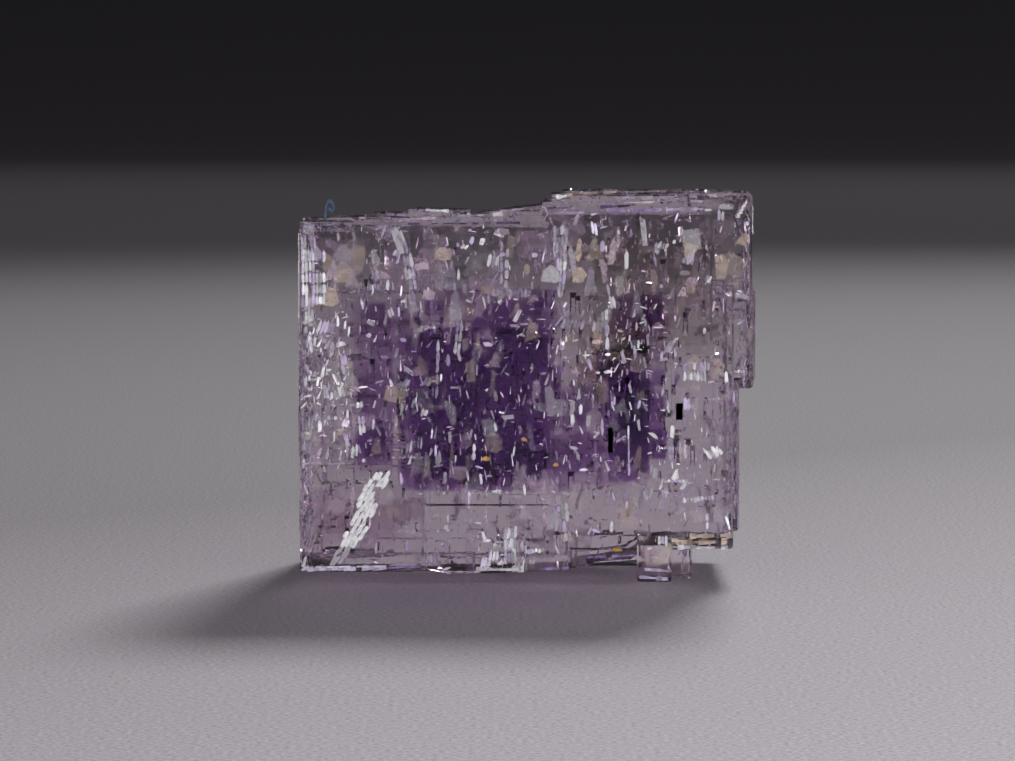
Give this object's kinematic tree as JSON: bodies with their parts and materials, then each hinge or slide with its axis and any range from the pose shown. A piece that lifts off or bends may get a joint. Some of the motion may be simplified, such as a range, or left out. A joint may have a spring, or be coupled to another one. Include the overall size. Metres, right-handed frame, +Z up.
{
  "type": "fluorite specimen",
  "caption": "Clear lilac fluorite crystal of intergrown cubes with stepped faces, a dark violet inner zone and silvery flakes, standing on its underside.",
  "frame": {"origin": "middle of the bounding box's bottom, on the surface the crystal stands on", "axes": "+X along the broad front face, to the right as seen from the front; +Y from the front face to the back; +Z up"},
  "size_m": [0.02, 0.011, 0.017],
  "materials": {
    "fluorite": "clear and glossy, lilac, with a dark violet zone inside, silvery flakes and small etch pits"
  },
  "bodies": {
    "root": {"fluorite_crystal": "fluorite"}
  },
  "joints": []
}
